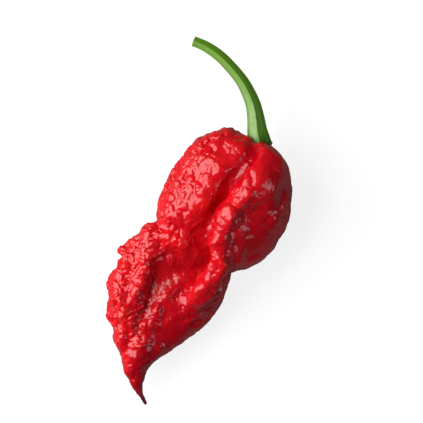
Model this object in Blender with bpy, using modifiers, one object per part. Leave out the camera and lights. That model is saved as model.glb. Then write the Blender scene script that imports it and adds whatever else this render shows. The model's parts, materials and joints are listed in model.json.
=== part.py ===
"""A wrinkled hot chilli pepper lying on its side, with its curved stem.

Run with: blender --background --python part.py

Metres, +Z up. The pod lies in the XY plane with its stem towards +Y and its tail towards -Y.
Lobes and creases are given in millimetres, as (x, y, z, radius) or (x, y), and scaled by MM.
"""

import math

import bmesh
import bpy
import numpy as np
from mathutils import Vector, noise

MM = 0.001

# Fineness of the solids.
CLAY_VOXEL = 0.8 * MM
SKIN_VOXEL = 0.55 * MM
POD_TRIANGLES = 10400

# How softly two lobes run into each other, in millimetres.
BLEND = 0.42
PATH_STEPS = 4
SETTLE_ROUNDS = 5

# Depth below the lowest skin that is planed off, so that the pod rests on small flat spots.
REST_FLAT = 0.40 * MM

# Gap between the calyx and the seat that it has in the pod.
SEAT_GAP = 0.3

RED = (0.62, 0.006, 0.012, 1.0)
GREEN = (0.16, 0.34, 0.045, 1.0)
POD_ROUGHNESS = 0.25
STEM_ROUGHNESS = 0.45
SHARP_ANGLE = math.radians(50)
WELD = 0.01 * MM
TAIL_BEVEL = 3

# Each lobe: how strongly its skin is blistered, then the line that it follows.
LOBES = {
    "left_lobe": (1.0, [(7.0, 18.1, 14.4, 4.4), (3.7, 14.5, 14.8, 5.9), (0.4, 10.2, 14.8, 6.55),
                        (-2.6, 5.8, 14.0, 6.1), (-4.4, 2.4, 12.8, 5.3)]),
    "calyx_shoulder": (0.35, [(11.4, 18.1, 15.6, 2.5), (11.3, 15.8, 17.2, 2.8), (9.2, 12.4, 17.8, 2.8)]),
    "centre_fold": (0.7, [(15.6, 16.2, 16.8, 2.7), (14.4, 13.6, 18.8, 3.1), (12.4, 10.4, 20.2, 3.2),
                          (10.0, 6.4, 20.8, 3.3), (7.6, 2.6, 20.4, 3.3), (5.9, -0.8, 19.2, 2.9),
                          (4.9, -4.2, 17.8, 2.6), (4.4, -8.0, 16.4, 2.9), (4.1, -11.2, 15.0, 3.5),
                          (2.4, -14.7, 13.4, 3.1), (-0.3, -17.9, 12.2, 2.8), (-2.8, -20.8, 10.8, 2.4)]),
    "right_bridge": (0.35, [(15.4, 13.0, 16.8, 4.0), (14.4, 9.4, 18.0, 4.3), (13.7, 6.2, 16.8, 3.4)]),
    "right_lobe": (0.3, [(14.3, 13.0, 15.2, 5.0), (13.6, 8.4, 14.4, 7.4), (12.8, 3.0, 12.9, 7.8),
                         (12.4, -2.0, 11.4, 7.0), (10.4, -5.7, 10.6, 6.2)]),
    "far_right_lobe": (0.25, [(16.8, 13.9, 9.4, 3.4), (18.8, 9.9, 9.2, 3.7), (18.7, 4.5, 8.6, 3.9),
                              (16.8, -0.6, 8.0, 4.3)]),
    "upper_core": (0.4, [(12.0, 13.4, 12.4, 4.6), (8.0, 8.0, 11.8, 7.3), (5.4, 1.4, 11.0, 7.0)]),
    "under_left": (0.6, [(7.6, 13.6, 8.2, 4.6), (3.2, 9.0, 7.0, 6.2), (0.6, 3.6, 6.4, 6.0),
                         (-1.2, -2.0, 6.4, 5.2)]),
    "under_centre": (0.5, [(12.0, 13.2, 7.2, 4.0), (9.8, 7.4, 6.4, 6.2), (7.0, 1.4, 6.2, 6.2),
                           (4.6, -4.2, 6.2, 5.4)]),
    "under_right": (0.4, [(15.0, 12.0, 8.0, 4.0), (14.6, 5.8, 6.8, 6.0), (12.8, 0.0, 6.5, 6.0)]),
    "waist": (0.5, [(6.0, 1.4, 9.8, 6.2), (1.4, -5.6, 9.0, 5.6), (-3.2, -12.0, 7.0, 4.9),
                    (-8.2, -20.0, 7.6, 4.5), (-12.8, -28.6, 7.6, 3.6)]),
    "waist_lobe": (0.9, [(-7.4, -2.0, 13.0, 2.7), (-3.8, -3.4, 14.6, 3.1), (-0.6, -6.0, 14.6, 2.9),
                         (0.6, -9.6, 13.0, 2.4)]),
    "left_wing": (1.0, [(-10.6, -4.0, 11.8, 3.8), (-14.2, -9.4, 11.2, 4.7), (-16.0, -15.2, 10.2, 5.2),
                        (-16.8, -20.4, 9.4, 4.7), (-16.6, -24.8, 9.0, 3.8), (-16.0, -29.4, 8.4, 3.1),
                        (-15.6, -33.0, 8.0, 2.5)]),
    "upper_knob": (0.8, [(-16.6, -7.2, 11.4, 1.4), (-18.4, -7.7, 11.2, 1.3)]),
    "middle_knob": (0.8, [(-20.0, -15.0, 10.2, 1.6), (-21.0, -15.6, 10.0, 1.1)]),
    "lower_knob": (0.8, [(-19.8, -20.9, 9.4, 1.8), (-21.5, -21.7, 9.2, 1.1),
                         (-20.7, -23.5, 9.0, 1.3)]),
    "wing_foot": (0.7, [(-17.6, -26.4, 8.8, 2.4), (-18.0, -28.2, 8.6, 2.4),
                        (-16.9, -31.2, 8.2, 2.3)]),
    "valley_floor": (0.8, [(-6.6, -7.2, 7.8, 4.2), (-7.6, -12.8, 7.0, 4.2), (-10.0, -19.0, 7.0, 4.2),
                           (-13.4, -26.0, 7.6, 3.6)]),
    "small_ridge": (0.9, [(-6.4, -13.8, 9.4, 1.9), (-7.6, -16.8, 10.4, 2.5), (-9.6, -20.4, 10.2, 2.6),
                          (-11.4, -24.4, 9.6, 2.4), (-13.2, -28.4, 9.0, 2.2)]),
    "lower_right_lobe": (0.4, [(2.9, -13.8, 9.6, 4.75), (0.3, -18.8, 8.8, 5.1), (-3.2, -22.9, 8.2, 4.95),
                               (-7.4, -27.1, 7.8, 4.1), (-11.5, -31.1, 7.6, 3.0)]),
    "lower_under": (0.5, [(-2.8, -6.0, 5.6, 5.2), (-8.0, -13.4, 5.0, 5.0), (-11.4, -21.4, 5.0, 4.4),
                          (-13.6, -28.6, 6.0, 3.2)]),
    "tail": (0.2, [(-13.8, -31.0, 7.8, 4.0), (-15.1, -34.3, 7.8, 3.2), (-15.3, -37.0, 7.6, 2.15),
                   (-14.7, -39.5, 7.3, 1.35), (-14.2, -41.0, 7.1, 0.95)]),
}

# The tail's dry point, thinner than the skin's fineness, joined on afterwards.
TAIL_POINT = [(-15.0, -38.4, 7.5, 1.2), (-14.5, -40.2, 7.2, 1.0), (-14.0, -41.8, 7.0, 0.62),
              (-13.4, -43.0, 6.8, 0.34), (-12.9, -44.1, 6.6, 0.16)]

# Folds pressed into the upper skin: height (below 0 for a crease), width, then the line in XY.
FOLDS = {
    "valley_from_calyx": (-0.9, 1.1, [(13.6, 18.0), (12.9, 15.6), (11.2, 12.4), (8.7, 9.2), (6.0, 6.8),
                                      (3.6, 4.2), (1.8, 1.6), (1.0, -1.6), (0.7, -5.6)]),
    "waist_crease": (-0.7, 0.8, [(-9.6, -0.6), (-6.6, 0.4), (-3.6, -0.6), (-1.2, -2.8), (0.2, -5.6)]),
    "wing_crease": (-0.9, 1.2, [(-9.8, -7.2), (-11.2, -11.2), (-12.4, -15.6), (-13.6, -19.6), (-14.6, -24.4),
                                (-14.8, -27.6)]),
    "lower_crease": (-0.8, 1.0, [(0.6, -10.6), (-1.2, -13.8), (-4.4, -17.2), (-7.0, -20.4), (-8.9, -23.6),
                                 (-10.0, -26.4)]),
    "floor_crease": (-0.9, 1.1, [(-11.6, -8.0), (-8.6, -9.4), (-5.0, -9.6), (-1.6, -8.8)]),
    "fold_lip": (-0.9, 0.7, [(13.6, 3.8), (11.6, 1.4), (9.4, -1.6), (8.4, -4.8), (7.6, -8.0), (7.4, -11.0)]),
    "right_crest": (0.45, 0.8, [(18.6, 13.6), (20.4, 11.4), (21.0, 9.0), (20.9, 5.8), (19.4, 1.8), (17.0, -0.6)]),
    "wing_cross_ridge": (0.5, 0.6, [(-21.0, -18.3), (-18.4, -19.2), (-15.6, -20.4)]),
    "foot_cross_ridge": (0.4, 0.6, [(-16.4, -30.4), (-14.2, -30.2), (-12.4, -29.2)]),
    "fold_spur": (0.5, 0.6, [(4.6, -5.2), (3.0, -5.4), (1.6, -6.0)]),
}

# Blisters and crumples of the skin: size and height, in millimetres.
BLISTER_SIZE = 2.7
BLISTER_HEIGHT = 0.62
CRUMPLE_SIZE = 3.6
CRUMPLE_HEIGHT = 0.7
WARP_SIZE = 5.0
WARP_REACH = 1.3
WARP_SEED = 3

# Stem: the line that it follows from its seat to its cut end, with the radius at each point.
STEM = [(14.9, 17.0, 13.6, 2.5), (14.8, 17.8, 13.6, 3.05), (14.7, 18.5, 13.6, 3.1), (14.5, 19.5, 13.7, 2.8),
        (14.2, 21.7, 13.9, 2.42), (13.9, 24.4, 14.3, 2.1), (13.25, 27.5, 14.8, 1.84), (12.05, 30.4, 15.2, 1.66),
        (10.5, 33.2, 15.5, 1.52), (8.3, 36.1, 15.6, 1.46), (5.5, 39.0, 15.5, 1.42), (3.0, 40.9, 15.3, 1.36),
        (0.9, 42.1, 15.1, 1.28), (-1.15, 42.9, 14.9, 1.26)]
STEM_SIDES = 30
STEM_STEPS = 3
STEM_RIBS = 5
RIB_SHARPNESS = 0.75
CALYX_TEETH_AT = 18.3
CALYX_TOOTH = 0.3


def smooth_line(points, steps):
    """The points of a Catmull-Rom curve through the given points, with steps stretches between each two."""
    given = np.array(points, float)
    padded = np.vstack([2 * given[0] - given[1], given, 2 * given[-1] - given[-2]])
    line = []
    for i in range(len(given) - 1):
        before, start, end, after = padded[i:i + 4]
        for share in np.arange(steps) / steps:
            line.append(0.5 * (2 * start + (end - before) * share
                               + (2 * before - 5 * start + 4 * end - after) * share ** 2
                               + (3 * start - before - 3 * end + after) * share ** 3))
    line.append(given[-1])
    return np.array(line)


def lobe_distance(places, line):
    """How far each place is outside a lobe, and the direction that leads out of it."""
    best = np.full(len(places), np.inf)
    outward = np.zeros_like(places)
    for start, end in zip(line[:-1], line[1:]):
        along = end[:3] - start[:3]
        share = np.clip((places - start[:3]) @ along / (along @ along), 0.0, 1.0)
        away = places - start[:3] - share[:, None] * along
        length = np.maximum(np.linalg.norm(away, axis=1), 1e-9)
        distance = length - (start[3] + share * (end[3] - start[3]))
        nearer = distance < best
        best[nearer] = distance[nearer]
        outward[nearer] = (away / length[:, None])[nearer]
    return best, outward


def pod_distance(places, lines):
    """The blended distance to all lobes, its direction, and each lobe's share at each place."""
    found = [lobe_distance(places, line) for line in lines]
    distances = np.stack([d for d, _ in found])
    nearest = distances.min(axis=0)
    weights = np.exp(-(distances - nearest) / BLEND)
    total = weights.sum(axis=0)
    shares = weights / total
    outward = sum(share[:, None] * way for share, (_, way) in zip(shares, found))
    outward /= np.maximum(np.linalg.norm(outward, axis=1), 1e-9)[:, None]
    return nearest - BLEND * np.log(total), outward, shares


def mesh_points(mesh):
    """The mesh's vertices in millimetres."""
    flat = np.empty(len(mesh.vertices) * 3)
    mesh.vertices.foreach_get("co", flat)
    return flat.reshape(-1, 3) / MM


def set_mesh_points(mesh, places):
    mesh.vertices.foreach_set("co", (places * MM).ravel())
    mesh.update()


def apply_modifier(thing, kind, **settings):
    """Adds a modifier, gives it its settings and applies it."""
    modifier = thing.modifiers.new(kind.title(), kind)
    for name, value in settings.items():
        setattr(modifier, name, value)
    graph = bpy.context.evaluated_depsgraph_get()
    made = bpy.data.meshes.new_from_object(thing.evaluated_get(graph))
    thing.modifiers.clear()
    old = thing.data
    thing.data = made
    bpy.data.meshes.remove(old)


def clay_beads(lines):
    """Beads laid along each lobe's line, which the remesh then melts into one body."""
    shape = bmesh.new()
    for line in lines:
        for x, y, z, radius in line:
            if radius * MM > CLAY_VOXEL:
                made = bmesh.ops.create_icosphere(shape, subdivisions=2, radius=radius * MM)
                bmesh.ops.translate(shape, verts=made["verts"], vec=Vector((x, y, z)) * MM)
    mesh = bpy.data.meshes.new("pod")
    shape.to_mesh(mesh)
    shape.free()
    return mesh


def settle(mesh, lines):
    """Moves each vertex onto the blended surface of the lobes."""
    places = mesh_points(mesh)
    for _ in range(SETTLE_ROUNDS):
        distance, outward, _ = pod_distance(places, lines)
        places -= distance[:, None] * outward
    set_mesh_points(mesh, places)


def line_closeness(places, line, width):
    """1 on a line in XY and 0 well away from it, and fading out towards the line's two ends."""
    best = np.full(len(places), np.inf)
    progress = np.zeros(len(places))
    for i, (start, end) in enumerate(zip(line[:-1], line[1:])):
        along = end - start
        share = np.clip((places[:, :2] - start) @ along / (along @ along), 0.0, 1.0)
        distance = np.linalg.norm(places[:, :2] - start - share[:, None] * along, axis=1)
        nearer = distance < best
        best[nearer] = distance[nearer]
        progress[nearer] = (i + share[nearer]) / (len(line) - 1)
    return np.exp(-(best / width) ** 2) * np.sin(np.pi * np.clip(progress, 0.03, 0.97)) ** 0.5


def fold_heights(places, outward):
    """Height that the named folds add to the upper skin."""
    upward = np.clip(outward[:, 2] * 1.6, 0.0, 1.0)
    total = np.zeros(len(places))
    for height, width, points in FOLDS.values():
        total += height * line_closeness(places, smooth_line(points, PATH_STEPS), width)
    return total * upward


def wrinkle_height(x, y, z):
    """Blisters with grooves between them, over larger crumples."""
    place = Vector((x, y, z))
    place += noise.noise_vector(place / WARP_SIZE) * WARP_REACH
    distances = noise.voronoi(place / BLISTER_SIZE)[0]
    dome = min((distances[1] - distances[0]) * 2.2, 1.0)
    crumple = 1.0 - 2.0 * abs(noise.noise(place / CRUMPLE_SIZE + Vector((3.1, 0.0, 7.7))))
    return BLISTER_HEIGHT * (dome - 0.6) + CRUMPLE_HEIGHT * (crumple - 0.7)


def wrinkle(mesh, lines):
    """Raises the folds, blisters and crumples along the skin's own outward direction."""
    noise.seed_set(WARP_SEED)
    places = mesh_points(mesh)
    _, outward, shares = pod_distance(places, lines)
    strengths = np.array([strength for strength, _ in LOBES.values()])
    height = fold_heights(places, outward)
    height += (strengths @ shares) * np.array([wrinkle_height(*place) for place in places])
    set_mesh_points(mesh, places + height[:, None] * outward)


def make_pod(collection):
    lines = [smooth_line(path, PATH_STEPS) for _, path in LOBES.values()]
    pod = bpy.data.objects.new("pod", clay_beads(lines))
    collection.objects.link(pod)
    apply_modifier(pod, "REMESH", mode="VOXEL", voxel_size=CLAY_VOXEL)
    settle(pod.data, lines)
    apply_modifier(pod, "REMESH", mode="VOXEL", voxel_size=SKIN_VOXEL)
    settle(pod.data, lines)
    wrinkle(pod.data, lines)
    pod.data.calc_loop_triangles()
    share = POD_TRIANGLES / len(pod.data.loop_triangles)
    apply_modifier(pod, "DECIMATE", ratio=share, use_collapse_triangulate=True)
    return pod


def rib_radius(angle):
    """The outline of the ribbed stem as a share of its radius: a five-sided shape with soft corners."""
    half = math.pi / STEM_RIBS
    from_corner = (angle + half) % (2 * half) - half
    flat = math.cos(half) / math.cos(half - abs(from_corner))
    return 1.0 + RIB_SHARPNESS * (flat - 1.0) + (1.0 - RIB_SHARPNESS) * 0.02


def make_stem(collection, name, grow=0.0):
    """The stem with its calyx, lofted along its line. Grow makes the larger copy that cuts its seat."""
    line = smooth_line(STEM, STEM_STEPS)
    shape = bmesh.new()
    rings = []
    for i, (x, y, z, radius) in enumerate(line):
        centre = Vector((x, y, z))
        ahead = Vector(line[min(i + 1, len(line) - 1)][:3]) - Vector(line[max(i - 1, 0)][:3])
        ahead.normalize()
        side = ahead.cross(Vector((0, 0, 1))).normalized()
        up = side.cross(ahead)
        teeth = math.exp(-((y - CALYX_TEETH_AT) / 0.6) ** 2) if x > 10 else 0.0
        ring = []
        for k in range(STEM_SIDES):
            angle = 2 * math.pi * k / STEM_SIDES
            reach = radius * rib_radius(angle) + grow
            tooth = teeth * CALYX_TOOTH * max(0.0, math.cos(STEM_RIBS * angle)) ** 2
            place = centre + (side * math.sin(angle) + up * math.cos(angle)) * (reach + tooth)
            ring.append(shape.verts.new((place - ahead * (tooth + grow * (i == 0))) * MM))
        rings.append(ring)
    for low, high in zip(rings[:-1], rings[1:]):
        for k in range(STEM_SIDES):
            after = (k + 1) % STEM_SIDES
            shape.faces.new((low[k], low[after], high[after], high[k]))
    shape.faces.new(rings[0][::-1])
    shape.faces.new(rings[-1])
    bmesh.ops.recalc_face_normals(shape, faces=shape.faces)
    mesh = bpy.data.meshes.new(name)
    shape.to_mesh(mesh)
    shape.free()
    stem = bpy.data.objects.new(name, mesh)
    collection.objects.link(stem)
    return stem


def make_tail_point(collection):
    """The thin dry end of the tail: a tapered curve, made a mesh with its caps welded."""
    curve = bpy.data.curves.new("tail_point", "CURVE")
    curve.dimensions = "3D"
    curve.bevel_depth = MM
    curve.bevel_resolution = TAIL_BEVEL
    curve.use_fill_caps = True
    spline = curve.splines.new("POLY")
    line = smooth_line(TAIL_POINT, PATH_STEPS)
    spline.points.add(len(line) - 1)
    for point, (x, y, z, radius) in zip(spline.points, line):
        point.co = (x * MM, y * MM, z * MM, 1.0)
        point.radius = radius
    guide = bpy.data.objects.new("tail_guide", curve)
    collection.objects.link(guide)
    bpy.context.view_layer.update()
    graph = bpy.context.evaluated_depsgraph_get()
    mesh = bpy.data.meshes.new_from_object(guide.evaluated_get(graph))
    bpy.data.objects.remove(guide)
    shape = bmesh.new()
    shape.from_mesh(mesh)
    bmesh.ops.remove_doubles(shape, verts=shape.verts, dist=WELD)
    bmesh.ops.recalc_face_normals(shape, faces=shape.faces)
    shape.to_mesh(mesh)
    shape.free()
    tail = bpy.data.objects.new("tail_point", mesh)
    collection.objects.link(tail)
    return tail


def join_or_cut(thing, other, operation):
    """Joins the other piece to the thing, or cuts it out of the thing, and removes the other piece."""
    apply_modifier(thing, "BOOLEAN", operation=operation, object=other, solver="EXACT")
    bpy.data.objects.remove(other)


def lowest(thing):
    return min(vertex.co.z for vertex in thing.data.vertices)


def plane_off(thing, height):
    """Cuts away what is below the height and closes the cut with flat faces."""
    shape = bmesh.new()
    shape.from_mesh(thing.data)
    geometry = shape.verts[:] + shape.edges[:] + shape.faces[:]
    bmesh.ops.bisect_plane(shape, geom=geometry, plane_co=(0, 0, height), plane_no=(0, 0, 1),
                           clear_inner=True)
    rim = [edge for edge in shape.edges if edge.is_boundary]
    bmesh.ops.holes_fill(shape, edges=rim, sides=0)
    bmesh.ops.recalc_face_normals(shape, faces=shape.faces)
    shape.to_mesh(thing.data)
    shape.free()


def stand_on_origin(things):
    """Moves the things so that the origin is at the middle of their base."""
    places = np.vstack([mesh_points(thing.data) for thing in things])
    low, high = places.min(axis=0), places.max(axis=0)
    shift = np.array([(low[0] + high[0]) / 2, (low[1] + high[1]) / 2, low[2]])
    for thing in things:
        set_mesh_points(thing.data, mesh_points(thing.data) - shift)


def finish(thing, colour, roughness):
    """Gives the thing its skin and smooth shading."""
    skin = bpy.data.materials.new(thing.name + "_skin")
    skin.use_nodes = True
    shader = skin.node_tree.nodes["Principled BSDF"]
    shader.inputs["Base Color"].default_value = colour
    shader.inputs["Roughness"].default_value = roughness
    shader.inputs["Metallic"].default_value = 0.0
    thing.data.materials.clear()
    thing.data.materials.append(skin)
    thing.data.shade_smooth()
    thing.data.set_sharp_from_angle(angle=SHARP_ANGLE)


def clear_scene():
    for thing in list(bpy.data.objects):
        bpy.data.objects.remove(thing)


def main():
    clear_scene()
    collection = bpy.data.collections.new("chilli_pepper")
    bpy.context.scene.collection.children.link(collection)
    pod = make_pod(collection)
    stem = make_stem(collection, "stem")
    join_or_cut(pod, make_tail_point(collection), "UNION")
    join_or_cut(pod, make_stem(collection, "seat", SEAT_GAP), "DIFFERENCE")
    plane_off(pod, lowest(pod) + REST_FLAT)
    stand_on_origin([pod, stem])
    finish(pod, RED, POD_ROUGHNESS)
    finish(stem, GREEN, STEM_ROUGHNESS)


if __name__ == "__main__":
    main()
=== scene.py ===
"""The looks of a wrinkled red hot chilli pepper that lies on a pale surface, seen from above.

Lobes and folds are given in millimetres around the middle of the pepper's waist, and FRAME_SHIFT
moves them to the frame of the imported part.
"""

import json
import math

import bmesh
import bpy
import numpy as np
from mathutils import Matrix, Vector, noise

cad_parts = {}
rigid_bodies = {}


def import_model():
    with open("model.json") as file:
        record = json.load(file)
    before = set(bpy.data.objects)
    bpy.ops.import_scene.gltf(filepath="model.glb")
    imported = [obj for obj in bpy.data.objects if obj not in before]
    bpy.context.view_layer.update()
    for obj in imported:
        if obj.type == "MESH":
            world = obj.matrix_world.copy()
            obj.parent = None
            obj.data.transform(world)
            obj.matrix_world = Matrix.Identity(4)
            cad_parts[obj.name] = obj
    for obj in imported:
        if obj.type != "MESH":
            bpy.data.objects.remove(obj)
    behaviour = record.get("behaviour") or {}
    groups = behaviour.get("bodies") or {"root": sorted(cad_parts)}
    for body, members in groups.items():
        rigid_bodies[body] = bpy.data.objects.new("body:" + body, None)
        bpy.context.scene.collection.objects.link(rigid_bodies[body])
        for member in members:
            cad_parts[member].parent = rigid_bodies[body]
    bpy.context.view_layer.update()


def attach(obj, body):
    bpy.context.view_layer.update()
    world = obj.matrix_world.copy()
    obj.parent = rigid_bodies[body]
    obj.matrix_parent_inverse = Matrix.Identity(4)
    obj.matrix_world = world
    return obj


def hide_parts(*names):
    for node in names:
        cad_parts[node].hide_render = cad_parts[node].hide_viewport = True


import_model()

bl_info = {
    "name": "Chilli Pepper",
    "version": (1, 0, 0),
    "blender": (4, 5, 0),
    "location": "View3D > Sidebar > Pepper",
    "description": "Builds a wrinkled chilli pepper with its stem, and the surface that it lies on",
    "category": "Object",
}

MM = 0.001

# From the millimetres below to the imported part's frame.
FRAME_SHIFT = np.array([0.0698, -0.0628, 0.156])

# How softly two lobes run into each other, in millimetres.
BLEND = 0.55
PATH_STEPS = 4
TAIL_STEPS = 10

# Each lobe: how strongly its skin is crumpled, how strongly it is blistered, then its line.
LOBES = {
    "left_lobe": (0.5, 1.2, [(7.0, 18.0, 13.4, 4.45), (3.4, 14.7, 12.8, 6.05), (0.3, 10.2, 12.3, 6.35),
                              (-2.5, 6.1, 12.2, 6.15), (-4.7, 1.6, 12.4, 5.3)]),
    "left_flank": (0.5, 0.55, [(9.0, 16.4, 15.2, 4.1), (5.2, 12.0, 15.6, 4.7), (2.3, 7.8, 15.4, 4.8),
                               (-0.2, 4.2, 14.9, 4.4), (-2.4, 1.2, 14.2, 3.8)]),
    "calyx_shoulder": (0.35, 0.3, [(11.2, 17.9, 15.6, 2.15), (9.9, 15.8, 16.8, 2.8), (7.2, 12.4, 17.2, 2.8)]),
    "upper_fold": (0.4, 0.15, [(15.6, 15.5, 15.2, 2.9), (15.2, 13.8, 16.0, 4.5), (15.0, 12.2, 16.0, 5.5),
                               (14.3, 10.2, 16.8, 5.8), (13.3, 8.4, 17.8, 4.5)]),
    "centre_fold": (0.75, 0.3, [(12.3, 8.4, 19.8, 2.9), (10.8, 5.8, 20.1, 3.4), (9.1, 3.3, 19.5, 2.6),
                                (7.2, 0.9, 19.5, 3.3), (6.4, -1.4, 18.9, 2.6), (5.5, -4.0, 18.7, 3.0),
                                (5.2, -6.2, 18.2, 2.6), (5.1, -8.6, 17.6, 2.6), (4.8, -11.4, 16.7, 2.6),
                                (2.8, -14.6, 14.8, 2.6), (0.7, -17.6, 12.9, 2.4), (-1.4, -20.0, 11.1, 1.9)]),
    "lip_fill": (0.2, 0.05, [(10.8, 1.8, 16.8, 3.0), (9.4, -1.2, 16.8, 3.0), (8.6, -4.0, 16.0, 3.0),
                              (8.2, -6.6, 15.2, 3.0), (7.9, -8.6, 14.0, 2.9), (7.6, -9.7, 13.0, 2.5)]),
    "right_bridge": (0.3, 0.3, [(15.2, 12.7, 17.0, 4.3), (14.6, 9.0, 17.0, 5.0), (13.4, 5.4, 16.0, 4.6)]),
    "right_lobe": (0.25, 0.1, [(14.0, 12.0, 13.8, 6.0), (14.2, 7.8, 12.8, 7.1), (13.4, 3.2, 11.8, 7.8),
                               (11.2, -1.8, 10.4, 7.3), (9.6, -4.6, 9.2, 7.3)]),
    "far_right_lobe": (0.25, 0.1, [(16.5, 11.0, 10.8, 5.4), (15.8, 6.8, 10.4, 6.5), (14.9, 2.2, 10.0, 7.12),
                                   (12.8, -2.8, 8.6, 6.6)]),
    "upper_core": (0.5, 0.35, [(11.4, 13.4, 11.4, 4.6), (7.4, 8.0, 9.4, 7.1), (3.3, 1.4, 9.5, 6.5)]),
    "under_left": (0.6, 0.7, [(7.6, 13.6, 8.2, 4.6), (3.2, 9.0, 7.0, 6.2), (0.6, 3.6, 6.4, 6.0),
                              (-1.2, -2.0, 6.4, 5.2)]),
    "under_centre": (0.5, 0.4, [(12.0, 13.2, 7.2, 4.0), (9.8, 7.4, 6.4, 6.2), (7.0, 1.4, 6.2, 6.2),
                                (4.6, -4.2, 6.2, 5.4)]),
    "under_right": (0.4, 0.2, [(15.0, 12.0, 8.0, 4.0), (14.6, 5.8, 6.8, 6.0), (12.8, 0.0, 6.5, 6.0)]),
    "waist": (0.5, 0.5, [(3.4, 1.4, 9.3, 6.2), (-0.8, -5.2, 9.8, 5.0), (-1.6, -11.4, 7.0, 4.8),
                         (-8.2, -20.0, 7.6, 4.5), (-12.8, -28.6, 7.6, 3.6)]),
    "waist_lobe": (0.7, 0.7, [(-8.2, -3.4, 12.4, 2.9), (-6.0, -4.2, 13.3, 3.4), (-3.8, -5.2, 13.2, 3.3),
                              (-3.4, -7.0, 12.0, 2.9)]),
    "waist_web": (0.5, 0.4, [(-0.8, 3.2, 13.6, 4.0), (-2.4, 0.2, 13.2, 3.6), (-2.8, -3.0, 12.6, 3.4)]),
    "left_wing": (1.0, 1.2, [(-10.85, -4.1, 11.8, 3.75), (-14.6, -9.3, 10.6, 3.6), (-17.2, -15.2, 10.2, 3.85),
                             (-17.7, -20.4, 9.6, 4.1), (-17.1, -24.8, 9.0, 3.35), (-16.0, -29.4, 8.2, 3.1),
                             (-15.6, -33.0, 8.0, 2.5)]),
    "wing_crest": (1.0, 1.1, [(-10.9, -6.6, 13.0, 2.5), (-12.8, -10.8, 13.1, 2.4), (-14.0, -15.0, 12.8, 2.4),
                              (-15.3, -19.6, 11.9, 2.4), (-16.0, -24.0, 10.4, 2.3)]),
    "upper_knob": (0.7, 0.9, [(-16.2, -7.6, 11.0, 1.3), (-18.4, -7.2, 10.8, 1.3)]),
    "middle_knob": (0.7, 0.9, [(-20.0, -15.0, 10.2, 1.8), (-21.0, -15.6, 10.0, 1.3)]),
    "lower_knob": (0.7, 0.9, [(-19.6, -21.9, 9.4, 1.7), (-21.5, -22.8, 9.2, 1.25), (-20.4, -23.8, 9.0, 1.3)]),
    "wing_foot": (0.7, 0.8, [(-17.6, -26.4, 8.8, 2.4), (-18.0, -28.2, 8.6, 2.6), (-16.8, -31.2, 8.2, 2.15)]),
    "valley_floor": (0.5, 0.7, [(-1.4, -9.6, 7.8, 4.0), (-5.6, -8.8, 9.0, 4.3), (-6.6, -12.4, 7.2, 4.3),
                                (-9.4, -18.8, 6.8, 3.9), (-13.2, -26.0, 7.2, 3.5)]),
    "valley_fill": (0.35, 0.25, [(-8.6, -8.6, 10.0, 3.3), (-10.1, -12.3, 8.8, 3.4), (-11.8, -16.4, 8.0, 3.2),
                                 (-13.1, -20.6, 8.0, 3.0), (-14.4, -24.8, 8.1, 2.6)]),
    "small_ridge": (1.0, 1.3, [(-4.4, -12.6, 8.2, 2.3), (-5.4, -15.8, 8.7, 2.4), (-8.2, -19.6, 9.8, 2.2),
                               (-10.9, -23.4, 10.2, 2.1), (-13.1, -27.6, 9.8, 2.0)]),
    "lower_left_bank": (0.6, 0.6, [(-2.4, -19.2, 8.8, 3.3), (-5.0, -22.0, 7.8, 3.6), (-8.2, -25.4, 7.1, 3.6),
                                   (-11.4, -29.4, 7.5, 3.1)]),
    "lower_right_lobe": (0.35, 0.25, [(3.4, -13.2, 7.0, 4.4), (2.0, -16.3, 6.4, 4.75),
                                      (-0.1, -18.6, 5.9, 5.4), (-3.5, -22.6, 5.7, 5.45),
                                      (-7.6, -27.0, 6.1, 4.35), (-11.5, -31.1, 7.1, 3.05)]),
    "lower_under": (0.5, 0.4, [(-2.8, -6.0, 5.6, 5.2), (-8.0, -13.4, 5.0, 5.0), (-11.4, -21.4, 5.0, 4.4),
                               (-13.6, -28.6, 6.0, 3.2)]),
    "tail": (0.3, 0.3, [(-13.8, -31.0, 7.8, 4.0), (-15.45, -34.6, 7.8, 3.2), (-15.0, -37.0, 7.6, 2.1),
                        (-14.8, -39.5, 7.3, 1.42), (-14.2, -41.4, 7.1, 0.9), (-13.6, -42.8, 6.9, 0.54),
                        (-13.15, -43.7, 6.7, 0.34), (-12.95, -44.2, 6.6, 0.25)]),
}

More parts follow.
